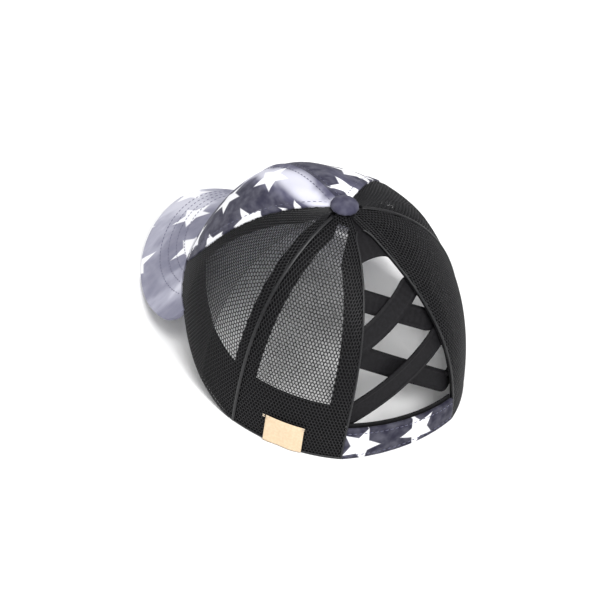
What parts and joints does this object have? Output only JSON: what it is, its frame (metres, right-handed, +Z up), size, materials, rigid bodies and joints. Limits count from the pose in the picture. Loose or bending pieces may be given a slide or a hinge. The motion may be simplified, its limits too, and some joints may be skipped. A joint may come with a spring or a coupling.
{
  "type": "ponytail baseball cap",
  "caption": "Sports cap with tie-dye star-print front panels and peak, black mesh sides and back, and an open back crossed by elastic straps for a ponytail.",
  "frame": {"origin": "middle of the cap's bounding box, on the floor that it rests on", "axes": "+Z up, the peak points along -Y, the ponytail opening faces +Y, the wearer's left is +X"},
  "size_m": [0.1578, 0.2308, 0.1132],
  "materials": {
    "panel_cloth": "woven cloth, dark slate tie-dye with pale sweeps and white stars",
    "peak_cloth": "woven cloth over a stiffener, pale lavender tie-dye with white stars and stitched rows",
    "band_cloth": "woven cloth, dark navy with white stars",
    "net": "open knitted mesh, near black with a slight sheen",
    "webbing": "black elastic tape and binding, slight sheen",
    "lining": "black brushed sweatband cloth",
    "label_cloth": "smooth woven beige label, bare"
  },
  "bodies": {
    "root": {"front_panel_left": "panel_cloth", "side_mesh_left": "net", "back_mesh_left": "net", "seam_tape_front_left": "webbing", "seam_tape_back_left": "webbing", "front_panel_right": "panel_cloth", "side_mesh_right": "net", "back_mesh_right": "net", "seam_tape_front_right": "webbing", "seam_tape_back_right": "webbing", "peak": "peak_cloth", "sweatband": "lining", "opening_facing": "webbing", "cross_strap_upper_inner": "webbing", "cross_strap_upper_outer": "webbing", "cross_strap_lower_inner": "webbing", "cross_strap_lower_outer": "webbing", "back_band": "band_cloth", "band_lining": "lining", "label": "label_cloth", "button": "band_cloth"}
  },
  "joints": []
}
